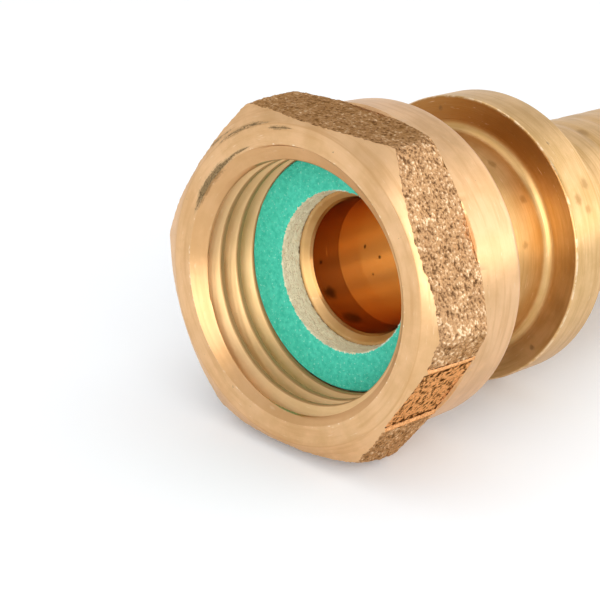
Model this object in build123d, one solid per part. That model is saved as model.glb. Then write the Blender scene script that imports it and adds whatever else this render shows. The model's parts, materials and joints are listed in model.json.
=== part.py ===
from build123d import *
import os

# Axial press adaptor with a loose union nut and a flat gasket.
# The axis lies along X: the nut's mouth faces -X and the spigot points to +X.
# X = 0 is the collar's rear face, where the pressed sleeve stops. All sizes are in millimetres.

# Parallel half inch pipe thread of the nut, bored to its crests
THREAD_MAJOR_DIAMETER = 20.955
THREAD_DEPTH = 1.162

# Union nut, places along it counted from its front face
NUT_LENGTH = 11.8
NUT_WALL = 2.02
HEX_LENGTH = 6.25
HEX_CORNER_ROUND = 1.0
FACE_INSET = 0.4
FRONT_CHAMFER_RISE = 0.62
REAR_CONE_RISE = 0.80
BAND_PROUD = 0.2
BAND_TAPER = 0.1
REAR_EDGE_ROUND = 1.1
COUNTERSINK_EXTRA = 0.07
COUNTERSINK_DEPTH = 0.8
RELIEF_EXTRA = 0.12
RELIEF_SLOPE = 0.9
NUT_REAR_WALL = 1.4
NUT_BORE_CHAMFER = 0.25

# Waterway through the body
SPIGOT_BORE_DIAMETER = 10.3
BORE_END_CHAMFER = 0.3
TAIL_BORE_STEP = 0.1
TAIL_BORE_DEPTH = 3.55
TAIL_BORE_CHAMFER = 0.65
BORE_CONE_LENGTH = 0.3

# Collar and spigot
COLLAR_HEIGHT = 3.98
COLLAR_WIDTH = 4.0
COLLAR_EDGE = 0.2
SPIGOT_WALL = 2.55
SPIGOT_LENGTH = 24.0
SPIGOT_ROOT = 5.1
GROOVE_COUNT = 4
GROOVE_PITCH = 3.6
GROOVE_WIDTH = 1.8
GROOVE_DEPTH = 0.14
SPIGOT_TIP_LENGTH = 2.6
SPIGOT_TIP_DROP = 0.8

# Flat gasket on the tail's face
GASKET_THICKNESS = 1.9
GASKET_SET_BACK = 0.175
GASKET_CLEARANCE = 0.165
GASKET_TO_THREAD = 0.1

# Snap ring of square wire in the tail's undercut, carried along in the nut's relief
WIRE_SIZE = 1.5
RING_PLAY = 0.1
RING_GAP_ANGLE = 16.0

# Tail of the body, inside the nut
TAIL_LENGTH = 12.1
FLANGE_THICKNESS = 1.0
FLANGE_INSET = 0.25
FLANGE_GRIP = 0.6
FLANGE_PASS = 0.15
LAND_LENGTH = 4.2
LAND_FILLET = 0.8

# Places along the axis, from the collar's rear face to the nut's front face
collar_front = -COLLAR_WIDTH
land_front = collar_front - LAND_LENGTH
flange_face = collar_front - TAIL_LENGTH
flange_back = flange_face + FLANGE_THICKNESS
gasket_front = flange_face - GASKET_THICKNESS
ring_front = flange_back + RING_PLAY
ring_back = ring_front + WIRE_SIZE
nut_shoulder = ring_back + RING_PLAY
nut_rear = nut_shoulder + NUT_REAR_WALL
nut_front = nut_rear - NUT_LENGTH
thread_start = nut_front + COUNTERSINK_DEPTH
thread_end = gasket_front - GASKET_TO_THREAD
band_front = nut_front + HEX_LENGTH

# Radii of the nut and of what turns or lies inside it
thread_major_radius = THREAD_MAJOR_DIAMETER / 2
thread_radius = thread_major_radius - THREAD_DEPTH
countersink_radius = thread_major_radius + COUNTERSINK_EXTRA
relief_radius = thread_major_radius + RELIEF_EXTRA
half_flats = thread_major_radius + NUT_WALL
corner_radius = half_flats / 0.75 ** 0.5
face_radius = half_flats - FACE_INSET
band_radius = half_flats + BAND_PROUD
gasket_radius = thread_radius - GASKET_CLEARANCE
flange_radius = gasket_radius - FLANGE_INSET
nut_bore_radius = flange_radius + FLANGE_PASS
land_radius = flange_radius
neck_radius = flange_radius - FLANGE_GRIP * WIRE_SIZE
ring_inner_radius = neck_radius + RING_PLAY

# Radii of the waterway, the spigot and the collar
spigot_bore_radius = SPIGOT_BORE_DIAMETER / 2
tail_bore_radius = spigot_bore_radius + TAIL_BORE_STEP
tail_mouth_radius = tail_bore_radius + TAIL_BORE_CHAMFER
gasket_inner_radius = tail_mouth_radius + GASKET_SET_BACK
spigot_radius = spigot_bore_radius + SPIGOT_WALL
collar_radius = spigot_radius + COLLAR_HEIGHT
land_fillet = min(LAND_FILLET, (collar_radius - land_radius) / 2)


def turned(points, rounds=()):
    """Solid turned about X from a closed outline of (x, radius) points, with some corners rounded."""
    outline = make_face(Polyline(*points, close=True))
    for corner, radius in rounds:
        nearest = outline.vertices().sort_by_distance((corner[0], corner[1], 0))[0]
        outline = fillet(nearest, radius)
    return revolve(outline, axis=Axis.X)


def hex_flats_cutter():
    """Everything outside the hexagon along the nut's hexagonal length."""
    across = Plane.YZ.offset(nut_front)
    hexagon = RegularPolygon(half_flats, 6, major_radius=False)
    hexagon = fillet(hexagon.vertices(), HEX_CORNER_ROUND)
    waste = Circle(2 * corner_radius) - hexagon
    return extrude(across * waste, HEX_LENGTH)


def union_nut():
    """Hexagon nut with a chamfered face, a turned band behind the flats and a bore that passes the flange."""
    chamfer_end = nut_front + (corner_radius - face_radius) * FRONT_CHAMFER_RISE
    cone_start = band_front - (corner_radius - band_radius) * REAR_CONE_RISE
    rear_edge = (nut_rear, band_radius - BAND_TAPER)
    blank = turned(
        [
            (nut_front, 0),
            (nut_front, face_radius),
            (chamfer_end, corner_radius),
            (cone_start, corner_radius),
            (band_front, band_radius),
            rear_edge,
            (nut_rear, 0),
        ],
        rounds=[(rear_edge, REAR_EDGE_ROUND)],
    )
    relief_start = thread_end + (relief_radius - thread_radius) * RELIEF_SLOPE
    hollow = turned(
        [
            (nut_front, 0),
            (nut_front, countersink_radius),
            (thread_start, thread_radius),
            (thread_end, thread_radius),
            (relief_start, relief_radius),
            (nut_shoulder, relief_radius),
            (nut_shoulder, nut_bore_radius),
            (nut_rear - NUT_BORE_CHAMFER, nut_bore_radius),
            (nut_rear, nut_bore_radius + NUT_BORE_CHAMFER),
            (nut_rear, 0),
        ]
    )
    return blank - hex_flats_cutter() - hollow


def spigot_outline():
    """Outline of the spigot from collar to tip: a plain root, shallow grooves, a pilot and a lead-in."""
    points = [(0, spigot_radius)]
    for number in range(GROOVE_COUNT):
        start = SPIGOT_ROOT + number * GROOVE_PITCH
        points.append((start, spigot_radius))
        points.append((start + GROOVE_WIDTH / 2, spigot_radius - GROOVE_DEPTH))
        points.append((start + GROOVE_WIDTH, spigot_radius))
    points.append((SPIGOT_LENGTH - SPIGOT_TIP_LENGTH, spigot_radius))
    points.append((SPIGOT_LENGTH, spigot_radius - SPIGOT_TIP_DROP))
    return points


def fitting_body():
    """Flanged tail, undercut for the ring, land that guides the nut, collar and spigot, bored through."""
    bore_step = flange_face + TAIL_BORE_DEPTH
    land_end = (collar_front, land_radius)
    outside = [
        (flange_face, tail_mouth_radius),
        (flange_face, flange_radius),
        (flange_back, flange_radius),
        (flange_back, neck_radius),
        (land_front, neck_radius),
        (land_front, land_radius),
        land_end,
        (collar_front, collar_radius - COLLAR_EDGE),
        (collar_front + COLLAR_EDGE, collar_radius),
        (-COLLAR_EDGE, collar_radius),
        (0, collar_radius - COLLAR_EDGE),
    ]
    inside = [
        (SPIGOT_LENGTH, spigot_bore_radius + BORE_END_CHAMFER),
        (SPIGOT_LENGTH - BORE_END_CHAMFER, spigot_bore_radius),
        (bore_step + BORE_CONE_LENGTH, spigot_bore_radius),
        (bore_step, tail_bore_radius),
        (flange_face + TAIL_BORE_CHAMFER, tail_bore_radius),
    ]
    return turned(outside + spigot_outline() + inside, rounds=[(land_end, land_fillet)])


def flat_gasket():
    """Flat sealing washer that lies on the flange's face, inside the nut."""
    across = Plane.YZ.offset(gasket_front)
    washer = Circle(gasket_radius) - Circle(gasket_inner_radius)
    return extrude(across * washer, GASKET_THICKNESS)


def snap_ring():
    """Split ring of square wire round the undercut, between the flange and the nut's shoulder."""
    wire = Pos(ring_front, ring_inner_radius) * Rectangle(WIRE_SIZE, WIRE_SIZE, align=Align.MIN)
    return revolve(wire, axis=Axis.X, revolution_arc=360 - RING_GAP_ANGLE)


PIECES = {
    "fitting_body": fitting_body,
    "union_nut": union_nut,
    "flat_gasket": flat_gasket,
    "snap_ring": snap_ring,
}

os.makedirs("parts", exist_ok=True)
for node, make in PIECES.items():
    piece = make()
    piece.label = node
    export_step(piece, f"parts/{node}.step")
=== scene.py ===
"""Looks of an axial press coupling: finished meshes, materials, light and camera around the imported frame."""
import json
import math

import bmesh
import bpy
import numpy as np
from mathutils import Matrix, Vector, noise


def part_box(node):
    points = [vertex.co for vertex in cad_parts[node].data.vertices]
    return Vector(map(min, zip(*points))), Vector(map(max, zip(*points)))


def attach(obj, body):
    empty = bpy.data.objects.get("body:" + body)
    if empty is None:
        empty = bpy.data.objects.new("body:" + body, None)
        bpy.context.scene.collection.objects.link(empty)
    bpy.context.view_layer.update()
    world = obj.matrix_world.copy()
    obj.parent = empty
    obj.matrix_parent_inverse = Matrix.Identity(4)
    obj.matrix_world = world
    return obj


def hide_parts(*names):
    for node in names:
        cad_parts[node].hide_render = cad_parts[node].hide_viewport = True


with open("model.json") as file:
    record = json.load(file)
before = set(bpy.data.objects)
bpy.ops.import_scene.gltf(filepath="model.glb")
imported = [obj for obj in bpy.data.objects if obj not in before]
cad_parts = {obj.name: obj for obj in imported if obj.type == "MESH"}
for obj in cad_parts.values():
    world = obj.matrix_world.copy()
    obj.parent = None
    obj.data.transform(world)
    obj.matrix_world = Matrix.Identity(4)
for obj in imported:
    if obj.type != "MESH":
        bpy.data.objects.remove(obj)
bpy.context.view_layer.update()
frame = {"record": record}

# Shapes are worked out in millimetres, along the coupling's own axis X, and built in metres
MM = 0.001
mounts = {mount["name"]: mount for mount in frame["record"]["mounts"]}
nut_low, nut_high = (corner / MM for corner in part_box("union_nut"))
gasket_low, gasket_high = (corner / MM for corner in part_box("flat_gasket"))
ring_low, ring_high = (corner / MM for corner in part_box("snap_ring"))
body_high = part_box("fitting_body")[1] / MM

# Union nut
NUT_FRONT = nut_low.x
NUT_REAR = nut_high.x
NUT_REAR_WALL = 1.4
NUT_SHOULDER = NUT_REAR - NUT_REAR_WALL
HEX_LENGTH = 6.25
HEX_CORNER_ROUND = 1.0
BAND_RADIUS = nut_high.z
BAND_PROUD = 0.2
BAND_TAPER = 0.1
BAND_FRONT = NUT_FRONT + HEX_LENGTH
HALF_FLATS = BAND_RADIUS - BAND_PROUD
FACE_INSET = 0.4
FACE_RADIUS = HALF_FLATS - FACE_INSET
FRONT_CHAMFER_RISE = 0.62
REAR_CONE_RISE = 0.80
REAR_EDGE_ROUND = 1.1
NUT_BORE_CHAMFER = 0.25
EDGE_BREAK = 0.06
NUT_COLUMNS = 600

# Front edge of the nut's band, which was turned further back towards one side
BAND_STEP = 1.1
BAND_STEP_SIDE = math.radians(72)

# Parallel half inch pipe thread, whose first crest is placed by its front edge at angle 0
THREAD_PITCH = 1.814
THREAD_DEPTH = 1.162
THREAD_CREST = 0.46
THREAD_ROOT = 0.234
THREAD_EASE = 0.05
THREAD_RADIUS = mounts["union_thread"]["dims"]["r_mm"]
THREAD_MAJOR = THREAD_RADIUS + THREAD_DEPTH
THREAD_FIRST_CREST = -21.622
THREAD_PAST_GASKET_FACE = 1.2
THREAD_END = gasket_low.x + THREAD_PAST_GASKET_FACE
FLANK_PARTS = (0, 0.08, 0.5, 0.92)
COUNTERSINK_DEPTH = 0.8
COUNTERSINK_EXTRA = 0.07
COUNTERSINK_RADIUS = THREAD_MAJOR + COUNTERSINK_EXTRA
THREAD_START = NUT_FRONT + COUNTERSINK_DEPTH
RELIEF_EXTRA = 0.12
RELIEF_SLOPE = 0.9
RELIEF_RADIUS = THREAD_MAJOR + RELIEF_EXTRA
RELIEF_START = THREAD_END + (RELIEF_RADIUS - THREAD_RADIUS) * RELIEF_SLOPE

# Tail of the body
FLANGE_FACE = gasket_high.x
FLANGE_THICKNESS = 1.0
FLANGE_BACK = FLANGE_FACE + FLANGE_THICKNESS
FLANGE_INSET = 0.25
FLANGE_RADIUS = gasket_high.z - FLANGE_INSET
FLANGE_PASS = 0.15
NUT_BORE_RADIUS = FLANGE_RADIUS + FLANGE_PASS
RING_OVER_NECK = 1.6
NECK_RADIUS = ring_high.z - RING_OVER_NECK
LAND_FRONT = -8.2
LAND_FILLET = 0.8
LAND_RADIUS = FLANGE_RADIUS

# Collar and spigot
COLLAR_FRONT = -4.0
COLLAR_RADIUS = body_high.z
COLLAR_EDGE = 0.2
SPIGOT_RADIUS = mounts["spigot"]["dims"]["r_mm"]
SPIGOT_END = body_high.x
SPIGOT_PLAIN_END = mounts["spigot"]["dims"]["length_mm"]
SPIGOT_TIP_DROP = 0.8
SPIGOT_SHOULDER_ROUND = 0.4
SPIGOT_TIP_ROUND = 0.15
GROOVE_FIRST = 5.1
GROOVE_PITCH = 3.6
GROOVE_WIDTH = 1.8
GROOVE_DEPTH = 0.14
GROOVE_ROUND = 1.5
GROOVE_COUNT = 4
FINE_ROUND = 0.06
BODY_COLUMNS = 288

# Waterway
BORE_RADIUS = 5.15
BORE_END_CHAMFER = 0.3
BORE_CONE_LENGTH = 2.5
TAIL_BORE_RADIUS = 5.25
TAIL_BORE_DEPTH = 3.55
TAIL_BORE_END = FLANGE_FACE + TAIL_BORE_DEPTH
TAIL_MOUTH_CHAMFER = 0.65
TAIL_MOUTH_ROUND = 0.5
TAIL_BORE_EASE = 0.1

# Gasket, whose torn hole widens towards its face
GASKET_SWELL = 0.12
GASKET_RADIUS = gasket_high.z + GASKET_SWELL
GASKET_BORE_RADIUS = 6.075
GASKET_TORN_INWARD = 0.06
GASKET_HOLE_RADIUS = GASKET_BORE_RADIUS - GASKET_TORN_INWARD
GASKET_FLARE = 0.2
GASKET_EDGE_ROUND = 0.1
GASKET_LIP = 0.02
GASKET_COLUMNS = 400

# Snap ring
RING_GAP = math.radians(16)
WIRE_SIZE = ring_high.x - ring_low.x
WIRE_ROUND = 0.12
RING_COLUMNS = 160

# Framed plate on one flat of the nut, measured along the flat from its middle
PLATE_FLAT = math.radians(210)
PLATE_FROM = -4.1
PLATE_TO = 2.2
PLATE_FRAME_WIDTH = 0.32
PLATE_FRAME_HEIGHT = 0.13
PLATE_FRAME_PARTS = (-1, -0.6, 0, 0.6, 1)
PLATE_DEPTH = 0.05
PLATE_SHADE_WIDTH = 0.7

# Cast skin of the flats: sharp grains on soft lumps, both sunk below the hexagon
CAST_ROWS = 46
CAST_GRAINS_PER_MM = 3.4
CAST_GRAIN_HEIGHT = 0.09
CAST_LUMPS_PER_MM = 1.1
CAST_LUMP_HEIGHT = 0.05
CAST_SINK = 0.09

# How much lower the front of each hexagon corner is cast, by its angle
WORN_CORNERS = {0: 0.40, 60: 0.30, 120: 0.15, 180: 0.90, 240: 0.50, 300: 0.45}
WORN_CORNER_SPREAD = 9.0

# Meshes: the most that one edge of an arc turns, where edges stay sharp, and how close points weld, in metres
ARC_STEP = math.radians(11)
SHARP_ANGLE = math.radians(32)
WELD_DISTANCE = 1e-7


class Skin:
    """Rows of points round the X axis, joined in order into one closed skin."""

    def __init__(self, angles):
        self.angles = np.asarray(angles)
        self.rows = []

    def row(self, x, radius, kind=0, steps=1, grain=0.0):
        """Adds a row, or several that lead to it, and the kind of surface between it and the row before."""
        shape = self.angles.shape
        end = [np.broadcast_to(np.asarray(value, float), shape) for value in (x, radius, grain)]
        start = self.rows[-1][:3] if self.rows else end
        for step in range(1, steps + 1):
            part = step / steps
            self.rows.append([a + (b - a) * part for a, b in zip(start, end)] + [kind])

    def build(self, name, materials, closed=True):
        """Makes the mesh object, welds its seams and marks its sharp edges."""
        x, radius, grain = (np.array([row[part] for row in self.rows]) for part in range(3))
        points = np.stack([x, radius * np.cos(self.angles), radius * np.sin(self.angles)], -1) * MM
        rows, columns = x.shape
        index = np.arange(rows * columns).reshape(rows, columns)
        upper = np.roll(index, -1, 0) if closed else index[1:]
        lower = index if closed else index[:-1]
        quads = np.stack([lower[:, :-1], lower[:, 1:], upper[:, 1:], upper[:, :-1]], -1)
        kinds = [self.rows[(place + 1) % rows][3] for place in range(quads.shape[0])]

        mesh = bpy.data.meshes.new(name)
        mesh.from_pydata(points.reshape(-1, 3), [], quads.reshape(-1, 4))
        mesh.polygons.foreach_set("material_index", np.repeat(kinds, columns - 1))
        layer = mesh.attributes.new("grain", "FLOAT", "POINT")
        layer.data.foreach_set("value", grain.reshape(-1))
        return finished(mesh, name, materials)


def finished(mesh, name, materials):
    """Welds a mesh, turns its faces outward, smooths it between sharp edges and shows it."""
    work = bmesh.new()
    work.from_mesh(mesh)
    bmesh.ops.remove_doubles(work, verts=work.verts, dist=WELD_DISTANCE)
    bmesh.ops.recalc_face_normals(work, faces=work.faces)
    work.to_mesh(mesh)
    work.free()
    mesh.polygons.foreach_set("use_smooth", [True] * len(mesh.polygons))
    mesh.set_sharp_from_angle(angle=SHARP_ANGLE)
    for material in materials:
        mesh.materials.append(material)
    piece = bpy.data.objects.new(name, mesh)
    bpy.context.scene.collection.objects.link(piece)
    return piece


def whole_turn(columns):
    """Angles of a whole turn, with the last one over the first."""
    return np.linspace(0, 2 * math.pi, columns + 1)


def rounded(outline):
    """Points of a closed outline of (x, radius, round), with each corner drawn as an arc."""
    points = []
    for place, (x, radius, arc) in enumerate(outline):
        here = Vector((x, radius))
        before = Vector(outline[place - 1][:2]) - here
        after = Vector(outline[(place + 1) % len(outline)][:2]) - here
        turn = math.pi - before.angle(after)
        if not arc or turn < 0.01:
            points.append(tuple(here))
            continue
        reach = min(arc * math.tan(turn / 2), before.length * 0.49, after.length * 0.49)
        arc = reach / math.tan(turn / 2)
        middle = here + (before.normalized() + after.normalized()).normalized() * math.hypot(arc, reach)
        start = here + before.normalized() * reach - middle
        side = math.copysign(1, start.x * (here - middle).y - start.y * (here - middle).x)
        count = max(2, math.ceil(turn / ARC_STEP))
        for step in range(count + 1):
            points.append(tuple(middle + Matrix.Rotation(side * turn * step / count, 2) @ start))
    return points


class Shader:
    """A material and short names for the nodes that it is made of. Places are in millimetres."""

    def __init__(self, name, metallic=0.0, roughness=0.5):
        self.material = bpy.data.materials.new(name)
        self.material.use_nodes = True
        self.tree = self.material.node_tree
        self.surface = self.tree.nodes["Principled BSDF"]
        self.surface.inputs["Metallic"].default_value = metallic
        self.surface.inputs["Roughness"].default_value = roughness
        place = self.node("ShaderNodeVectorMath", operation="SCALE")
        self.feed(place.inputs[0], self.node("ShaderNodeTexCoord").outputs["Object"])
        place.inputs["Scale"].default_value = 1 / MM
        self.place = place.outputs[0]
        parts = self.node("ShaderNodeSeparateXYZ")
        self.feed(parts.inputs[0], self.place)
        self.x, self.y, self.z = parts.outputs
        squares = [self.math("MULTIPLY", side, side) for side in (self.y, self.z)]
        self.radius = self.math("SQRT", self.math("ADD", *squares))
        self.angle = self.math("DEGREES", self.math("ARCTAN2", self.z, self.y))

    def node(self, kind, **settings):
        """New node with its settings."""
        node = self.tree.nodes.new(kind)
        for name, value in settings.items():
            setattr(node, name, value)
        return node

    def feed(self, socket, value):
        """Links a socket to another, or sets its value."""
        if isinstance(value, bpy.types.NodeSocket):
            self.tree.links.new(value, socket)
        else:
            socket.default_value = value

    def math(self, operation, first, second=0.0):
        """Result of an operation on one or two values."""
        node = self.node("ShaderNodeMath", operation=operation)
        self.feed(node.inputs[0], first)
        self.feed(node.inputs[1], second)
        return node.outputs[0]

    def both(self, first, second):
        """Product of two masks, or of a value and the mask that it keeps to."""
        return self.math("MULTIPLY", first, second)

    def plus(self, value, *shares):
        """Value with shares of other values added, each given as (value, amount)."""
        for other, amount in shares:
            value = self.math("ADD", value, self.math("MULTIPLY", other, amount))
        return value

    def fade(self, value, start, end):
        """0 at start, 1 at end, smooth between."""
        node = self.node("ShaderNodeMapRange", interpolation_type="SMOOTHSTEP")
        self.feed(node.inputs["Value"], value)
        node.inputs["From Min"].default_value = start
        node.inputs["From Max"].default_value = end
        return node.outputs[0]

    def noise(self, size, detail=2.0, roughness=0.5, place=None):
        """Cloudy noise with features of that size in millimetres."""
        node = self.node("ShaderNodeTexNoise")
        self.feed(node.inputs["Vector"], place or self.place)
        node.inputs["Scale"].default_value = 1 / size
        node.inputs["Detail"].default_value = detail
        node.inputs["Roughness"].default_value = roughness
        return node.outputs[0]

    def rings(self, size):
        """Noise in rings round the axis, as a lathe tool leaves them, with features of that size."""
        node = self.node("ShaderNodeTexNoise", noise_dimensions="1D")
        self.feed(node.inputs["W"], self.math("ADD", self.x, self.radius))
        node.inputs["Scale"].default_value = 1 / size
        node.inputs["Detail"].default_value = 3.0
        return node.outputs[0]

    def streaks(self, across, along, detail=3.0):
        """Noise drawn out round the axis, with features of those sizes across and along the turning."""
        drawn = self.node("ShaderNodeCombineXYZ")
        self.feed(drawn.inputs[0], self.math("DIVIDE", self.math("ADD", self.x, self.radius), across))
        self.feed(drawn.inputs[1], self.math("DIVIDE", self.y, along))
        self.feed(drawn.inputs[2], self.math("DIVIDE", self.z, along))
        return self.noise(1.0, detail, 0.6, drawn.outputs[0])

    def line(self, value, middle, width):
        """Mask of a thin line where a value passes a middle, 1 on the line."""
        return self.fade(self.math("ABSOLUTE", self.math("SUBTRACT", value, middle)), width / 2, width / 8)

    def turning(self, amount):
        """Spreads reflections across the tool's marks, which run round the axis."""
        tangent = self.node("ShaderNodeTangent", direction_type="RADIAL", axis="X")
        self.feed(self.surface.inputs["Tangent"], tangent.outputs[0])
        self.surface.inputs["Anisotropic"].default_value = amount
        self.surface.inputs["Anisotropic Rotation"].default_value = 0.25

    def mix(self, factor, first, second):
        """Colour from the first to the second as a factor goes from 0 to 1."""
        node = self.node("ShaderNodeMix", data_type="RGBA")
        self.feed(node.inputs[0], factor)
        self.feed(node.inputs[6], first)
        self.feed(node.inputs[7], second)
        return node.outputs[2]

    def tint(self, tone, mask, amount, colour):
        """Tone with a share of another colour laid over it by a mask."""
        return self.mix(self.math("MULTIPLY", mask, amount), tone, colour)

    def attribute(self, name):
        """Value that the mesh stores at its points."""
        return self.node("ShaderNodeAttribute", attribute_name=name).outputs["Fac"]

    def spot(self, x, angle, radius, size):
        """Mask of an uneven spot on a turned surface, 1 in its middle."""
        turn = math.radians(angle)
        gap = self.node("ShaderNodeVectorMath", operation="DISTANCE")
        self.feed(gap.inputs[0], self.place)
        gap.inputs[1].default_value = (x, radius * math.cos(turn), radius * math.sin(turn))
        ragged = self.plus(gap.outputs["Value"], (self.noise(size, 3.0), size))
        return self.fade(ragged, 1.5 * size, 0.7 * size)

    def arc(self, radius, width, start, end, fullness):
        """Mask of a streaky smear round the axis between two angles, which narrows to its ends."""
        middle = (start + end) / 2
        along = self.math("ABSOLUTE", self.math("SUBTRACT", self.angle, middle))
        taper = self.fade(along, (end - start) / 2, (end - start) / 8)
        offset = self.math("ABSOLUTE", self.math("SUBTRACT", self.radius, radius))
        inside = self.math("SUBTRACT", self.math("MULTIPLY", taper, width / 2), offset)
        streaky = self.plus(self.streaks(0.10, 1.0), (self.noise(0.16, 4.0, 0.75), 0.8))
        edge = self.math("MULTIPLY", self.math("SUBTRACT", streaky, 0.90 - fullness), width)
        smear = self.fade(self.math("ADD", inside, edge), 0.0, 0.5 * width)
        smear = self.both(smear, self.fade(streaky, 0.62 - fullness, 1.0 - fullness))
        return self.both(smear, self.fade(taper, 0.0, 0.3))

    def most(self, masks):
        """The strongest of several masks."""
        strongest = masks[0]
        for mask in masks[1:]:
            strongest = self.math("MAXIMUM", strongest, mask)
        return strongest

    def set(self, **values):
        """Feeds the surface's inputs by name."""
        for name, value in values.items():
            self.feed(self.surface.inputs[name.replace("_", " ").title()], value)

    def bump(self, height, depth):
        """Fine relief of that depth in millimetres."""
        node = self.node("ShaderNodeBump")
        node.inputs["Strength"].default_value = 1.0
        node.inputs["Distance"].default_value = depth * MM
        self.feed(node.inputs["Height"], height)
        self.feed(self.surface.inputs["Normal"], node.outputs[0])


# Turned metal: the nut's bronze is rosier than the body's
BRONZE_LIGHT = (0.83, 0.515, 0.265, 1)
BRONZE = (0.71, 0.43, 0.205, 1)
BRONZE_DEEP = (0.62, 0.34, 0.14, 1)
BRONZE_PALE = (0.95, 0.74, 0.50, 1)
BRONZE_ROSY = (0.86, 0.555, 0.31, 1)
BRONZE_STAIN = (0.17, 0.12, 0.07, 1)
BRASSY_LIGHT = (0.80, 0.52, 0.25, 1)
BRASSY = (0.68, 0.43, 0.18, 1)
BRASSY_DEEP = (0.55, 0.31, 0.10, 1)
THREAD_GOLD = (0.96, 0.72, 0.36, 1)
# Painted shade for the thread's crests
THREAD_CREST_SHADE = (0.42, 0.23, 0.09, 1)
# Painted shade and painted light for the near and far parts of the waterway
BORE_NEAR_SHADE = (0.41, 0.20, 0.07, 1)
BORE_FAR_LIT = (0.83, 0.57, 0.285, 1)
BORE_ROUGHNESS = 0.22

# Marks on the turned metal
SMEAR = (0.30, 0.21, 0.10, 1)
SMEAR_DARK = (0.10, 0.065, 0.03, 1)
# Painted shade for the top of the collar's face
COLLAR_TOP_SHADE = (0.36, 0.14, 0.025, 1)
DEPOSIT = (0.09, 0.045, 0.015, 1)
SPOT = (0.20, 0.11, 0.045, 1)
BLOT = (0.40, 0.22, 0.07, 1)

# Cast flats and the plate
# Brown oxide with painted shade in the pits, and a painted highlight on the peaks
CAST_PIT_OXIDE_AND_SHADE = (0.15, 0.075, 0.033, 1)
CAST_MIDDLE = (0.59, 0.345, 0.17, 1)
CAST_PEAK_HIGHLIGHT = (1.0, 0.75, 0.48, 1)
CAST_CLOUD = (0.36, 0.20, 0.10, 1)
CAST_TOP_SHADE = (0.19, 0.09, 0.04, 1)
CAST_GLANCE = (0.72, 0.52, 0.34, 1)
PLATE_DEEP = (0.74, 0.37, 0.16, 1)
PLATE_BRIGHT = (1.0, 0.55, 0.25, 1)
# Dark brown oxide and painted shade on the plate's field
PLATE_PATINA_AND_SHADE = (0.06, 0.026, 0.010, 1)
PLATE_GLANCE = (0.72, 0.46, 0.26, 1)

# Gasket and ring
GREEN_DEEP = (0.03, 0.54, 0.36, 1)
GREEN = (0.10, 0.75, 0.545, 1)
GREEN_CLOUD = (0.035, 0.57, 0.38, 1)
GREEN_FLECK = (0.55, 0.93, 0.82, 1)
TORN_FIBRE = (0.90, 0.86, 0.74, 1)
CREAM_DEEP = (0.84, 0.68, 0.40, 1)
CREAM = (1.0, 0.94, 0.65, 1)
# Soil and painted contact shade where the cut edge meets the flange
CREAM_SOIL_AND_SHADE = (0.16, 0.10, 0.05, 1)
STEEL_DARK = (0.42, 0.42, 0.41, 1)
STEEL = (0.62, 0.62, 0.60, 1)

# Dark smears on the nut's face: radius, width, first and last angle, and how full they are
SMEARS = [
    (10.70, 0.62, 12, 54, 0.24),
    (10.78, 0.24, 42, 62, 0.12),
    (12.22, 0.40, 40, 76, 0.05),
    (12.60, 0.40, 34, 58, -0.02),
    (11.80, 0.34, 69, 85, 0.04),
]

# Marks on the body: place on the axis, angle, radius and size
DEPOSITS = [
    (-14.6, -15, TAIL_BORE_RADIUS, 0.28),
    (-14.5, -42, TAIL_BORE_RADIUS, 0.78),
    (-14.3, -73, TAIL_BORE_RADIUS, 1.1),
    (-9.3, -12, BORE_RADIUS, 0.24),
    (-7.7, -25, BORE_RADIUS, 0.24),
    (-9.1, -38, BORE_RADIUS, 0.15),
]
SPOTS = [
    (COLLAR_FRONT, -143, 10.8, 0.33),
    (COLLAR_FRONT, 73, 10.7, 0.3),
    (-2.8, 124.5, COLLAR_RADIUS, 0.2),
]
BLOTS = [
    (-1.2, 144, COLLAR_RADIUS, 0.65),
    (-2.7, 149, COLLAR_RADIUS, 0.60),
    (-1.8, 154, COLLAR_RADIUS, 0.5),
    (9.8, 103, SPIGOT_RADIUS, 0.8),
    (-6.4, 118, LAND_RADIUS, 0.55),
    (-5.6, 141, LAND_RADIUS, 0.5),
    (-6.8, 163, LAND_RADIUS, 0.45),
]


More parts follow.
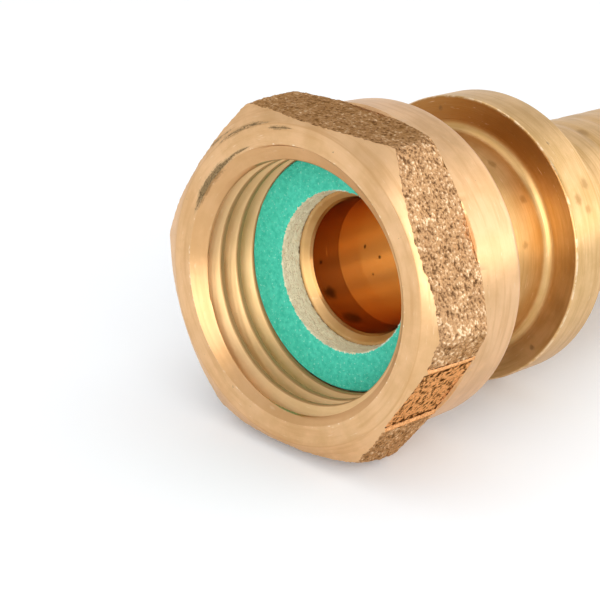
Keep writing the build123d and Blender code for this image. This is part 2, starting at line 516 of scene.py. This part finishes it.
def turned_nut_bronze():
    """Turned faces of the nut, with the smears, specks and scratches that they show, a painted highlight on
    the countersink's edge, and painted shade on the face's outer corner, in the countersink and on the
    thread's crests.
    """
    shader = Shader("turned_bronze_of_nut", metallic=1)
    shader.turning(0.6)
    rings = shader.rings(0.09)
    patches = shader.noise(2.4, 4.0, 0.6)
    drawn = shader.streaks(0.5, 5.0)
    tone = shader.mix(shader.fade(patches, 0.35, 0.68), BRONZE, BRONZE_LIGHT)
    clouds = shader.fade(shader.noise(5.0, 4.0, 0.6), 0.42, 0.62)
    tone = shader.tint(tone, clouds, 0.5, BRONZE_ROSY)
    tone = shader.tint(tone, shader.fade(drawn, 0.45, 0.72), 0.5, BRONZE_DEEP)
    tone = shader.tint(tone, rings, 0.2, BRONZE_DEEP)
    specks = shader.fade(shader.noise(0.32, 2.0, 0.6), 0.735, 0.80)
    tone = shader.tint(tone, specks, 0.55, BRONZE_STAIN)

    on_face = shader.fade(shader.x, NUT_FRONT + 0.5, NUT_FRONT + 0.25)
    smears = shader.both(shader.most([shader.arc(*smear) for smear in SMEARS]), on_face)
    smear_tone = shader.mix(shader.fade(shader.noise(0.14, 2.0, 0.6), 0.50, 0.62), SMEAR, SMEAR_DARK)
    tone = shader.tint(tone, smears, 0.88, smear_tone)

    scratches = shader.fade(shader.streaks(0.12, 1.2, 2.0), 0.66, 0.76)
    # A broken bright line along the countersink's edge is a painted highlight, mixed with the scratches into
    # one pale tone.
    edge = shader.both(shader.line(shader.radius, COUNTERSINK_RADIUS + 0.05, 0.13), on_face)
    edge = shader.both(edge, shader.fade(shader.noise(0.5, 3.0, 0.7), 0.56, 0.66))
    scratches_and_edge_highlight = shader.most([shader.math("MULTIPLY", scratches, 0.45), edge])
    tone = shader.mix(scratches_and_edge_highlight, tone, BRONZE_PALE)
    # A darker line along the face's outer corner is painted shade.
    corner = shader.both(shader.line(shader.radius, FACE_RADIUS, 0.16), on_face)
    tone = shader.tint(tone, corner, 0.4, BRONZE_DEEP)

    in_mouth = shader.fade(shader.radius, COUNTERSINK_RADIUS + 0.15, COUNTERSINK_RADIUS - 0.05)
    thread = shader.both(in_mouth, shader.fade(shader.x, THREAD_START + 0.1, THREAD_START + 0.4))
    tone = shader.tint(tone, thread, 0.4, THREAD_GOLD)
    # The countersink is painted darker as shade.
    in_sink = shader.fade(shader.radius, COUNTERSINK_RADIUS + 0.01, COUNTERSINK_RADIUS - 0.05)
    sunk = shader.both(in_sink, shader.fade(shader.x, THREAD_START + 0.4, THREAD_START + 0.1))
    tone = shader.tint(tone, sunk, 0.5, BRONZE_DEEP)
    # The thread's crests are painted dark as shade between the lit flanks.
    crest = shader.fade(shader.radius, THREAD_RADIUS + 0.12, THREAD_RADIUS + 0.04)
    tone = shader.tint(tone, crest, 0.7, THREAD_CREST_SHADE)

    rough = shader.plus(0.20, (rings, 0.12), (patches, 0.16), (thread, 0.10), (crest, 0.20), (smears, 0.30))
    shader.set(base_color=tone, roughness=rough)
    shader.bump(shader.plus(rings, (drawn, 0.8), (patches, 1.4)), 0.010)
    return shader.material


def turned_body_bronze():
    """Turned surfaces of the body, smooth in the waterway and duller on the seat, with painted shade and light
    in the waterway, painted shade atop the collar's face and a painted highlight on its rim.
    """
    shader = Shader("turned_bronze_of_body", metallic=1)
    shader.turning(0.6)
    rings = shader.rings(0.11)
    patches = shader.noise(2.2, 4.0, 0.6)
    drawn = shader.streaks(0.6, 6.0)
    lines = shader.streaks(0.20, 7.0, 2.0)
    tone = shader.mix(shader.fade(patches, 0.35, 0.68), BRASSY, BRASSY_LIGHT)
    tone = shader.tint(tone, shader.fade(drawn, 0.42, 0.70), 0.6, BRASSY_DEEP)
    tone = shader.tint(tone, rings, 0.25, BRASSY_DEEP)
    tone = shader.tint(tone, shader.fade(lines, 0.54, 0.72), 0.5, BRASSY_DEEP)
    tone = shader.tint(tone, shader.fade(lines, 0.42, 0.28), 0.4, BRASSY_LIGHT)

    tail = shader.fade(shader.x, COLLAR_FRONT + 0.1, COLLAR_FRONT)
    tone = shader.tint(tone, tail, 0.25, BRASSY_DEEP)
    # The waterway is painted dark as shade up to the tail bore's step, and paler beyond it as painted light.
    bore = shader.fade(shader.radius, TAIL_BORE_RADIUS + 0.25, TAIL_BORE_RADIUS + 0.15)
    past_step = shader.fade(shader.x, TAIL_BORE_END + 0.09, TAIL_BORE_END + 0.17)
    tone = shader.mix(bore, tone, shader.mix(past_step, BORE_NEAR_SHADE, BORE_FAR_LIT))

    collar_face = shader.fade(shader.x, COLLAR_FRONT + 0.1, COLLAR_FRONT + 0.02)
    collar_face = shader.both(collar_face, shader.fade(shader.radius, LAND_RADIUS + 0.3, LAND_RADIUS + 1.0))
    # The upper part of the collar's face is painted darker as shade, with a ragged edge.
    high = shader.plus(shader.z, (shader.math("SUBTRACT", patches, 0.5), 6.0))
    tone = shader.tint(tone, shader.both(collar_face, shader.fade(high, 4.0, 9.5)), 0.8, COLLAR_TOP_SHADE)
    for marks, amount, colour in ((DEPOSITS, 0.85, DEPOSIT), (SPOTS, 0.6, SPOT), (BLOTS, 0.7, BLOT)):
        tone = shader.tint(tone, shader.most([shader.spot(*mark) for mark in marks]), amount, colour)

    scratches = shader.fade(shader.streaks(0.12, 1.2, 2.0), 0.66, 0.76)
    # A broken bright line along the collar's front rim is a painted highlight, mixed with the scratches into
    # one pale tone.
    rim_highlight = shader.fade(shader.radius, COLLAR_RADIUS - 0.28, COLLAR_RADIUS - 0.18)
    rim_highlight = shader.both(shader.line(shader.x, COLLAR_FRONT + 0.1, 0.22), rim_highlight)
    rim_highlight = shader.both(rim_highlight, shader.fade(shader.noise(0.9, 3.0, 0.7), 0.42, 0.6))
    scratches_and_edge_highlight = shader.most([shader.math("MULTIPLY", scratches, 0.45), shader.math("MULTIPLY", rim_highlight, 0.7)])
    tone = shader.mix(scratches_and_edge_highlight, tone, BRONZE_PALE)

    seat = shader.fade(shader.radius, TAIL_BORE_RADIUS + 0.01, TAIL_BORE_RADIUS + 0.09)
    seat = shader.both(shader.fade(shader.x, FLANGE_BACK, FLANGE_BACK - 0.3), seat)
    rough = shader.plus(0.20, (rings, 0.12), (patches, 0.16), (seat, 0.15))
    rough = shader.both(rough, shader.math("SUBTRACT", 1.0, bore))
    shader.set(base_color=tone, roughness=shader.plus(rough, (bore, BORE_ROUGHNESS)))
    outside = shader.fade(shader.radius, TAIL_BORE_RADIUS + 0.25, TAIL_BORE_RADIUS + 0.95)
    relief = shader.plus(rings, (drawn, 0.8), (patches, 0.7), (lines, 1.0))
    shader.bump(shader.both(relief, outside), 0.012)
    return shader.material


def cast_bronze():
    """Sand-cast flats of the nut: painted highlights on the raised grains, brown oxide with painted shade in
    the pits, and painted shade over the top flats.
    """
    shader = Shader("cast_bronze", metallic=1)
    grain = shader.attribute("grain")
    speckle = shader.noise(0.19, 2.0, 0.55)
    # The top flats are painted darker as shade.
    from_top = shader.math("ABSOLUTE", shader.math("SUBTRACT", shader.angle, 90))
    top_shade = shader.fade(from_top, 36, 22)
    height = shader.plus(shader.math("MULTIPLY", grain, 0.50), (speckle, 0.90))
    shown = shader.plus(height, (top_shade, -0.03))
    # Pits take brown oxide with painted shade, and the highest grains a painted highlight.
    tone = shader.mix(shader.fade(shown, 0.38, 0.66), CAST_PIT_OXIDE_AND_SHADE, CAST_MIDDLE)
    tone = shader.mix(shader.fade(shown, 0.70, 0.92), tone, CAST_PEAK_HIGHLIGHT)
    tone = shader.tint(tone, shader.fade(shader.noise(2.2, 3.0), 0.35, 0.7), 0.25, CAST_CLOUD)
    tone = shader.tint(tone, top_shade, 0.38, CAST_TOP_SHADE)
    rough = shader.plus(0.58, (speckle, -0.35))
    shader.set(base_color=tone, roughness=rough, specular_tint=CAST_GLANCE)
    shader.bump(height, 0.13)
    return shader.material


def plate_bronze():
    """Field and frame of the plate: a rough bright field with dark brown oxide in cloudy patches, deepened
    beside the frame as painted shade.
    """
    shader = Shader("plate_bronze", metallic=1)
    low = shader.attribute("grain")
    cloud = shader.noise(0.42, 3.0, 0.65)
    fine = shader.noise(0.16, 2.0, 0.6)
    # Dark brown oxide in cloudy patches, deepened beside the frame by painted shade.
    patina_and_frame_shade = shader.fade(shader.plus(low, (cloud, 1.1)), 0.74, 0.90)
    bare = shader.mix(shader.fade(fine, 0.35, 0.65), PLATE_DEEP, PLATE_BRIGHT)
    tone = shader.mix(patina_and_frame_shade, bare, PLATE_PATINA_AND_SHADE)
    shader.set(base_color=tone, roughness=shader.plus(0.34, (cloud, 0.2)), specular_tint=PLATE_GLANCE)
    shader.bump(shader.plus(fine, (cloud, -1.5)), 0.10)
    return shader.material


def gasket_face_fibre():
    """Green face of the fibre sheet, mottled, with pale flecks and torn bare fibre round its hole."""
    shader = Shader("gasket_green", roughness=0.7)
    mottle = shader.fade(shader.noise(0.45, 4.0, 0.7), 0.3, 0.7)
    flecks = shader.fade(shader.noise(0.20, 2.0, 0.6), 0.60, 0.72)
    tone = shader.mix(mottle, GREEN_DEEP, GREEN)
    tone = shader.tint(tone, shader.noise(2.0, 2.0), 0.3, GREEN_CLOUD)
    tone = shader.tint(tone, flecks, 0.55, GREEN_FLECK)
    ragged = shader.plus(shader.radius, (shader.noise(0.22, 4.0, 0.75), 0.45))
    torn = shader.fade(ragged, GASKET_BORE_RADIUS + 0.50, GASKET_BORE_RADIUS + 0.38)
    patchy = shader.plus(shader.noise(0.8, 3.0), (shader.y, -0.05))
    torn = shader.both(torn, shader.fade(patchy, 0.38, 0.52))
    shader.set(base_color=shader.mix(torn, tone, TORN_FIBRE))
    shader.bump(shader.math("ADD", mottle, shader.noise(0.2, 3.0)), 0.03)
    return shader.material


def gasket_edge_fibre():
    """Cut edge of the fibre sheet: bare cream fibre in loose layers, darkened towards the flange by soil and
    painted contact shade.
    """
    shader = Shader("gasket_cream", roughness=0.85)
    layers = shader.plus(shader.streaks(0.16, 0.7), (shader.noise(0.14, 3.0, 0.7), 0.6))
    tone = shader.mix(shader.fade(layers, 0.50, 0.85), CREAM_DEEP, CREAM)
    # Towards the flange the edge darkens with soil and painted contact shade.
    ragged = shader.plus(shader.x, (shader.noise(0.5, 3.0, 0.7), 0.6))
    soil_and_contact_shade = shader.fade(ragged, FLANGE_FACE + 0.16, FLANGE_FACE + 0.36)
    shader.set(base_color=shader.mix(soil_and_contact_shade, tone, CREAM_SOIL_AND_SHADE))
    shader.bump(layers, 0.10)
    return shader.material


def ring_steel():
    """Drawn spring wire."""
    shader = Shader("ring_steel", metallic=1)
    drawn = shader.noise(0.2, 3.0)
    tone = shader.mix(drawn, STEEL_DARK, STEEL)
    shader.set(base_color=tone, roughness=shader.plus(0.25, (drawn, 0.2)))
    return shader.material


def hexagon_radius(angle):
    """Distance from the axis to the hexagon, whose corners are rounded and start at angle 0."""
    from_flat = np.abs((np.degrees(angle) % 60) - 30)
    flat = HALF_FLATS / np.cos(np.radians(from_flat))
    centre = (HALF_FLATS - HEX_CORNER_ROUND) / math.cos(math.radians(30))
    off_corner = np.radians(30 - from_flat)
    inside = np.maximum(HEX_CORNER_ROUND**2 - (centre * np.sin(off_corner)) ** 2, 0)
    corner = centre * np.cos(off_corner) + np.sqrt(inside)
    straight = (HALF_FLATS - HEX_CORNER_ROUND) * math.tan(math.radians(30))
    tangent = math.degrees(math.atan(straight / HALF_FLATS))
    return np.where(from_flat > tangent, corner, flat)


def along_plate_flat(angle):
    """Place along the plate's flat from its middle, far away on other flats."""
    turn = (angle - PLATE_FLAT + math.pi) % (2 * math.pi) - math.pi
    along = HALF_FLATS * np.tan(np.clip(turn, -0.6, 0.6))
    return np.where(np.abs(turn) < math.radians(29), along, 99.0)


def cast_skin(x, radius, angle):
    """Height of the cast skin at each point, and its grain from 0 in a pit to 1 on a peak; on the plate the
    grain is painted shade beside the frame.
    """
    points = np.stack([x, radius * np.cos(angle), radius * np.sin(angle)], -1)
    height = np.empty(len(angle))
    grain = np.empty(len(angle))
    for place, point in enumerate(points):
        spot = Vector(point)
        peak = min(1.0, max(0.0, 1.12 - 1.45 * noise.voronoi(spot * CAST_GRAINS_PER_MM)[0][0]))
        lump = noise.fractal(spot * CAST_LUMPS_PER_MM, 0.7, 2.2, 3)
        grain[place] = min(1.0, max(0.0, peak * 0.8 + 0.25 * lump + 0.1))
        height[place] = CAST_GRAIN_HEIGHT * peak + CAST_LUMP_HEIGHT * lump - CAST_SINK
    on_plate = along_plate_flat(angle)
    inside = (on_plate > PLATE_FROM) & (on_plate < PLATE_TO)
    off_frame = np.minimum(np.abs(on_plate - PLATE_FROM), np.abs(on_plate - PLATE_TO))
    ridge = np.clip(1 - off_frame / PLATE_FRAME_WIDTH, 0, 1)
    ridge = ridge * ridge * (3 - 2 * ridge)
    field = inside | (ridge > 0)
    plate = 0.5 * height * (1 - ridge) - PLATE_DEPTH + PLATE_FRAME_HEIGHT * ridge
    height = np.where(field, plate, height)
    # On the plate the grain is painted shade, deepest beside the frame and none on its ridges.
    shade = np.clip(1 - off_frame / PLATE_SHADE_WIDTH, 0, 1) * 0.25 + 0.22
    grain = np.where(field, np.where(ridge > 0.15, 0.0, shade), grain)
    return height, grain


def thread_profile():
    """Places along one pitch, from a crest's front edge, and the thread's radius at each."""
    flank = (THREAD_PITCH - THREAD_CREST - THREAD_ROOT) / 2
    ease = THREAD_EASE
    low, high = THREAD_RADIUS, THREAD_MAJOR
    root = THREAD_CREST + flank
    crest = [(0, low + ease), (ease, low), (THREAD_CREST - ease, low), (THREAD_CREST, low + ease)]
    hollow = [(root, high - ease), (root + THREAD_ROOT / 2, high), (root + THREAD_ROOT, high - ease)]
    return crest + hollow


def thread_radius(x, angle):
    """Distance from the axis to the thread, a right-handed helix, with its countersink and run-out."""
    profile = thread_profile() + [(THREAD_PITCH, THREAD_RADIUS + THREAD_EASE)]
    along = (x - THREAD_FIRST_CREST - THREAD_PITCH * angle / (2 * math.pi)) % THREAD_PITCH
    thread = np.interp(along, *zip(*profile))
    ends = [NUT_FRONT, THREAD_START, THREAD_END, RELIEF_START]
    bore = np.interp(x, ends, [COUNTERSINK_RADIUS, THREAD_RADIUS, THREAD_RADIUS, RELIEF_RADIUS])
    return np.maximum(thread, bore)


def union_nut():
    """Cast and turned nut with its thread cut true."""
    turned, cast, plate = range(3)
    frame_lines = []
    for edge in (PLATE_FROM, PLATE_TO):
        frame_lines += [edge + PLATE_FRAME_WIDTH * part for part in PLATE_FRAME_PARTS]
    extra = [PLATE_FLAT + math.atan(line / HALF_FLATS) for line in frame_lines]
    angles = np.sort(np.concatenate([whole_turn(NUT_COLUMNS), extra]))
    skin = Skin(angles)
    hexagon = hexagon_radius(angles)
    band_front = BAND_FRONT + BAND_STEP * np.clip(np.cos(angles - BAND_STEP_SIDE), 0, 1) ** 3

    worn = np.zeros_like(angles)
    for corner, depth in WORN_CORNERS.items():
        off_corner = (np.degrees(angles) - corner + 180) % 360 - 180
        worn += depth * np.exp(-((off_corner / WORN_CORNER_SPREAD) ** 2))

    # The height of the cast skin moves its edges along their cones, and they settle in three rounds
    front_edge = NUT_FRONT + (hexagon - FACE_RADIUS) * FRONT_CHAMFER_RISE
    rear_edge = np.minimum(band_front, band_front - (hexagon - BAND_RADIUS) * REAR_CONE_RISE)
    for _ in range(3):
        height, front_grain = cast_skin(front_edge, hexagon, angles)
        front_radius = hexagon - worn + height
        front_edge = NUT_FRONT + (front_radius - FACE_RADIUS) * FRONT_CHAMFER_RISE
        height, rear_grain = cast_skin(rear_edge, hexagon, angles)
        rear_radius = hexagon + height
        rear_edge = np.minimum(band_front, band_front - (rear_radius - BAND_RADIUS) * REAR_CONE_RISE)

    skin.row(NUT_FRONT, COUNTERSINK_RADIUS + EDGE_BREAK, turned)
    skin.row(NUT_FRONT, FACE_RADIUS - EDGE_BREAK, turned, steps=3)
    skin.row(NUT_FRONT + EDGE_BREAK / 2, FACE_RADIUS + EDGE_BREAK / 2, turned)
    skin.row(front_edge, front_radius, turned, steps=2, grain=front_grain)
    for step in range(1, CAST_ROWS):
        part = step / CAST_ROWS
        x = front_edge + (rear_edge - front_edge) * part
        height, grain = cast_skin(x, hexagon, angles)
        skin.row(x, hexagon - worn * (1 - part) ** 2 + height, cast, grain=grain)
    skin.row(rear_edge, rear_radius, cast, grain=rear_grain)
    skin.row(band_front + EDGE_BREAK, BAND_RADIUS, turned, steps=2)
    round_start = NUT_REAR - REAR_EDGE_ROUND
    rear_radius = BAND_RADIUS - BAND_TAPER
    skin.row(round_start, rear_radius, turned, steps=4)
    round_rows = 8
    for step in range(1, round_rows + 1):
        turn = math.pi / 2 * step / round_rows
        x = round_start + REAR_EDGE_ROUND * math.sin(turn)
        skin.row(x, rear_radius - REAR_EDGE_ROUND * (1 - math.cos(turn)), turned)
    skin.row(NUT_REAR, NUT_BORE_RADIUS + NUT_BORE_CHAMFER, turned, steps=2)
    skin.row(NUT_REAR - NUT_BORE_CHAMFER, NUT_BORE_RADIUS, turned)
    skin.row(NUT_SHOULDER, NUT_BORE_RADIUS, turned)
    skin.row(NUT_SHOULDER, RELIEF_RADIUS, turned)

    climb = THREAD_PITCH * angles / (2 * math.pi)
    corners = [place for place, _ in thread_profile()]
    gaps = np.diff(corners + [THREAD_PITCH])
    stations = []
    for start, gap in zip(corners, gaps):
        parts = FLANK_PARTS if gap > THREAD_CREST else (0,)
        stations += [start + gap * part for part in parts]
    first_turn = math.floor((NUT_FRONT - THREAD_FIRST_CREST) / THREAD_PITCH) - 1
    last_turn = math.ceil((RELIEF_START - THREAD_FIRST_CREST) / THREAD_PITCH)
    for turn in range(last_turn, first_turn - 1, -1):
        for station in reversed(stations):
            x = THREAD_FIRST_CREST + turn * THREAD_PITCH + station + climb
            x = np.clip(x, NUT_FRONT, RELIEF_START)
            skin.row(x, thread_radius(x, angles), turned)

    piece = skin.build("union_nut_finish", [turned_nut_bronze(), cast_bronze(), plate_bronze()])
    for face in piece.data.polygons:
        if face.material_index == cast:
            y, z = face.center.y, face.center.z
            on_plate = float(along_plate_flat(np.array([math.atan2(z, y) % (2 * math.pi)]))[0])
            if PLATE_FROM - PLATE_FRAME_WIDTH < on_plate < PLATE_TO + PLATE_FRAME_WIDTH:
                face.material_index = plate
    return piece


def fitting_body():
    """Turned body: sealing flange, undercut, land, collar and spigot, bored through."""
    outline = [
        (FLANGE_FACE, TAIL_BORE_RADIUS + TAIL_MOUTH_CHAMFER, TAIL_MOUTH_ROUND),
        (FLANGE_FACE, FLANGE_RADIUS, FINE_ROUND),
        (FLANGE_BACK, FLANGE_RADIUS, FINE_ROUND),
        (FLANGE_BACK, NECK_RADIUS, FINE_ROUND),
        (LAND_FRONT, NECK_RADIUS, FINE_ROUND),
        (LAND_FRONT, LAND_RADIUS, FINE_ROUND),
        (COLLAR_FRONT, LAND_RADIUS, LAND_FILLET),
        (COLLAR_FRONT, COLLAR_RADIUS, COLLAR_EDGE),
        (0, COLLAR_RADIUS, COLLAR_EDGE),
        (0, SPIGOT_RADIUS, FINE_ROUND),
    ]
    for number in range(GROOVE_COUNT):
        start = GROOVE_FIRST + number * GROOVE_PITCH
        outline.append((start, SPIGOT_RADIUS, GROOVE_ROUND))
        outline.append((start + GROOVE_WIDTH / 2, SPIGOT_RADIUS - GROOVE_DEPTH, GROOVE_ROUND))
        outline.append((start + GROOVE_WIDTH, SPIGOT_RADIUS, GROOVE_ROUND))
    outline += [
        (SPIGOT_PLAIN_END, SPIGOT_RADIUS, SPIGOT_SHOULDER_ROUND),
        (SPIGOT_END, SPIGOT_RADIUS - SPIGOT_TIP_DROP, SPIGOT_TIP_ROUND),
        (SPIGOT_END, BORE_RADIUS + BORE_END_CHAMFER, FINE_ROUND),
        (SPIGOT_END - BORE_END_CHAMFER, BORE_RADIUS, FINE_ROUND),
        (TAIL_BORE_END + BORE_CONE_LENGTH, BORE_RADIUS, FINE_ROUND),
        (TAIL_BORE_END, TAIL_BORE_RADIUS, FINE_ROUND),
        (FLANGE_FACE + TAIL_MOUTH_CHAMFER, TAIL_BORE_RADIUS, TAIL_BORE_EASE),
    ]
    skin = Skin(whole_turn(BODY_COLUMNS))
    for x, radius in rounded(outline):
        skin.row(x, radius)
    return skin.build("fitting_body_finish", [turned_body_bronze()])


def flat_gasket():
    """Fibre washer with a slightly uneven face and a ragged cut edge inside."""
    face, edge = range(2)
    angles = whole_turn(GASKET_COLUMNS)
    skin = Skin(angles)
    circle = np.stack([np.zeros_like(angles), np.cos(angles), np.sin(angles)], -1)

    def uneven(radius, x, size, depth):
        """Noise round the washer, the same at both ends of the turn."""
        spots = circle * radius + np.array([x, 0, 0])
        return np.array([depth * noise.fractal(Vector(spot) / size, 0.6, 2.1, 4) for spot in spots])

    inner, flare, soft = GASKET_HOLE_RADIUS, GASKET_FLARE, GASKET_EDGE_ROUND
    front, back = gasket_low.x, gasket_high.x
    lip = inner + flare + np.abs(uneven(inner, front, 0.28, 0.20))
    skin.row(front + GASKET_LIP, lip, face)
    for radius in np.linspace(inner + flare + 0.25, GASKET_RADIUS - soft, 10):
        skin.row(front + np.abs(uneven(radius, front, 1.2, 0.025)), radius, face)
    skin.row(front + soft, GASKET_RADIUS, face, steps=2)
    skin.row(back - soft, GASKET_RADIUS, edge, steps=3)
    skin.row(back, GASKET_RADIUS - soft, face)
    skin.row(back, inner + soft, face, steps=2)
    for part in np.linspace(0.05, 0.92, 9):
        x = back + (front - back) * part
        skin.row(x, inner + flare * part + np.abs(uneven(inner, x, 0.26, 0.13)), edge)
    skin.row(front + GASKET_LIP, lip, edge)
    return skin.build("flat_gasket_finish", [gasket_face_fibre(), gasket_edge_fibre()], closed=False)


def snap_ring():
    """Split ring of square wire with rounded edges."""
    outer = ring_high.z
    inner = outer - WIRE_SIZE
    outline = [
        (ring_low.x, inner, WIRE_ROUND),
        (ring_low.x, outer, WIRE_ROUND),
        (ring_high.x, outer, WIRE_ROUND),
        (ring_high.x, inner, WIRE_ROUND),
    ]
    skin = Skin(np.linspace(0, 2 * math.pi - RING_GAP, RING_COLUMNS))
    for x, radius in rounded(outline):
        skin.row(x, radius)
    piece = skin.build("snap_ring_finish", [ring_steel()])
    work = bmesh.new()
    work.from_mesh(piece.data)
    bmesh.ops.holes_fill(work, edges=[edge for edge in work.edges if edge.is_boundary])
    bmesh.ops.recalc_face_normals(work, faces=work.faces)
    work.to_mesh(piece.data)
    work.free()
    return piece


def place_pieces():
    """Builds each finished piece over its CAD node, on that node's body, and hides the node."""
    plan = [
        (union_nut, "union_nut", "nut", "cast_bronze"),
        (fitting_body, "fitting_body", "body", "turned_bronze"),
        (flat_gasket, "flat_gasket", "body", "gasket_fibre"),
        (snap_ring, "snap_ring", "ring", "ring_steel"),
    ]
    for make, node, body, slot in plan:
        piece = make()
        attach(piece, body)
        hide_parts(node)


def background(tree):
    """1 for rays from the camera, off metal or through glass, which show the surroundings, and 0 off matt."""
    rays = tree.nodes.new("ShaderNodeLightPath").outputs
    shown = rays["Is Camera Ray"]
    steps = [("MAXIMUM", "Is Glossy Ray"), ("MAXIMUM", "Is Transmission Ray"), ("SUBTRACT", "Diffuse Depth")]
    for operation, other in steps:
        step = tree.nodes.new("ShaderNodeMath")
        step.operation = operation
        step.use_clamp = True
        tree.links.new(shown, step.inputs[0])
        tree.links.new(rays[other], step.inputs[1])
        shown = step.outputs[0]
    return shown


# Floor: how far it reaches each way in metres, its colour and how much brighter it shows than it is lit
FLOOR_SIZE = 3.0
FLOOR_WHITE = (0.90, 0.92, 0.94, 1)
FLOOR_LIFT = 0.12

# Room: its light on matt surfaces, how bright its ceiling shows, and where its walls start and end
ROOM_LIGHT = 0.62
CEILING_SHOWN = 0.75
WALL_FOOT = -0.05
WALL_TOP = 0.60


def make_floor():
    """White floor under the two places that the coupling lies on: the nut's band and the collar."""
    band = Vector((NUT_REAR - REAR_EDGE_ROUND, 0, -(BAND_RADIUS - BAND_TAPER)))
    collar = Vector((-COLLAR_EDGE, 0, -COLLAR_RADIUS))
    along = (collar - band).normalized()
    across = Vector((0, 1, 0))
    mesh = bpy.data.meshes.new("floor")
    corners = [along * a + across * b for a, b in ((-1, -1), (1, -1), (1, 1), (-1, 1))]
    mesh.from_pydata([band * MM + corner * FLOOR_SIZE for corner in corners], [], [(0, 1, 2, 3)])
    floor = bpy.data.objects.new("floor", mesh)
    bpy.context.scene.collection.objects.link(floor)
    material = bpy.data.materials.new("floor_white")
    material.use_nodes = True
    tree = material.node_tree
    surface = tree.nodes["Principled BSDF"]
    surface.inputs["Base Color"].default_value = FLOOR_WHITE
    surface.inputs["Roughness"].default_value = 1.0
    surface.inputs["Specular IOR Level"].default_value = 0.0
    surface.inputs["Emission Color"].default_value = (1, 1, 1, 1)
    lift = tree.nodes.new("ShaderNodeMath")
    lift.operation = "MULTIPLY"
    tree.links.new(background(tree), lift.inputs[0])
    lift.inputs[1].default_value = FLOOR_LIFT
    tree.links.new(lift.outputs[0], surface.inputs["Emission Strength"])
    mesh.materials.append(material)


def make_world():
    """White room, plain light on the object."""
    world = bpy.data.worlds.new("white_room")
    bpy.context.scene.world = world
    world.use_nodes = True
    tree = world.node_tree
    room = tree.nodes["Background"]
    room.inputs["Color"].default_value = (1, 1, 1, 1)
    height = tree.nodes.new("ShaderNodeSeparateXYZ")
    tree.links.new(tree.nodes.new("ShaderNodeTexCoord").outputs["Generated"], height.inputs[0])
    walls = tree.nodes.new("ShaderNodeMapRange")
    walls.interpolation_type = "SMOOTHSTEP"
    tree.links.new(height.outputs["Z"], walls.inputs["Value"])
    walls.inputs["From Min"].default_value = WALL_FOOT
    walls.inputs["From Max"].default_value = WALL_TOP
    walls.inputs["To Min"].default_value = 1.0
    walls.inputs["To Max"].default_value = CEILING_SHOWN
    level = tree.nodes.new("ShaderNodeMix")
    tree.links.new(background(tree), level.inputs["Factor"])
    plain = tree.nodes.new("ShaderNodeMath")
    plain.operation = "MULTIPLY_ADD"
    tree.links.new(tree.nodes.new("ShaderNodeLightPath").outputs["Is Glossy Ray"], plain.inputs[0])
    plain.inputs[1].default_value = -ROOM_LIGHT
    plain.inputs[2].default_value = ROOM_LIGHT
    tree.links.new(plain.outputs[0], level.inputs["A"])
    tree.links.new(walls.outputs[0], level.inputs["B"])
    tree.links.new(level.outputs["Result"], room.inputs["Strength"])


# Point that the lights look at, in the nut
LIGHTS_AIM = Vector((-12, 0, 0)) * MM

# Soft panels: name, azimuth, elevation, distance, width, height and brightness, in degrees and metres
SOFT_LIGHTS = [
    ("right_panel", -36, 18, 0.50, 0.80, 0.44, 0.95),
    ("right_core", -40, 7, 0.42, 0.12, 0.12, 1.1),
    ("front_panel", -154, 14, 0.50, 0.40, 0.44, 1.6),
    ("side_panel", -132, 16, 0.50, 0.46, 0.44, 1.6),
    ("top_panel", 90, 85, 0.60, 0.70, 0.70, 0.6),
]


def soft_light(name, azimuth, elevation, distance, width, height, brightness):
    """Soft panel that looks at the nut from an azimuth, counted from +X towards +Y, and an elevation."""
    light = bpy.data.lights.new(name, "AREA")
    light.shape = "RECTANGLE"
    light.size = width
    light.size_y = height
    light.energy = brightness * math.pi * width * height
    lamp = bpy.data.objects.new(name, light)
    bpy.context.scene.collection.objects.link(lamp)
    across, rise = math.radians(azimuth), math.radians(elevation)
    level = math.cos(rise)
    toward = Vector((math.cos(across) * level, math.sin(across) * level, math.sin(rise)))
    lamp.location = LIGHTS_AIM + toward * distance
    lamp.rotation_euler = (-toward).to_track_quat("-Z", "Y").to_euler()
    lamp.visible_camera = False


# Camera: its place, lens and sensor in millimetres, and its directions
CAMERA_PLACE = (-129.238, -89.467, 49.478)
CAMERA_RIGHT = (0.66593, -0.74019, 0.09305)
CAMERA_FORWARD = (0.71945, 0.60421, -0.34252)
CAMERA_LENS = 120.0
CAMERA_SENSOR = 36.0

# Enough for light that crosses the waterway many times
GLOSSY_BOUNCES = 10


def make_camera():
    """Camera where the photograph was taken from."""
    camera = bpy.data.cameras.new("camera")
    camera.lens = CAMERA_LENS
    camera.sensor_width = CAMERA_SENSOR
    camera.clip_start = 0.01
    camera.clip_end = 20
    holder = bpy.data.objects.new("camera", camera)
    bpy.context.scene.collection.objects.link(holder)
    right = Vector(CAMERA_RIGHT).normalized()
    back = -Vector(CAMERA_FORWARD).normalized()
    turn = Matrix((right, back.cross(right), back)).transposed()
    holder.matrix_world = Matrix.Translation(Vector(CAMERA_PLACE) * MM) @ turn.to_4x4()
    bpy.context.scene.camera = holder


place_pieces()
make_floor()
make_world()
for panel in SOFT_LIGHTS:
    soft_light(*panel)
make_camera()
bpy.context.scene.view_settings.view_transform = "Standard"
bpy.context.scene.cycles.glossy_bounces = GLOSSY_BOUNCES
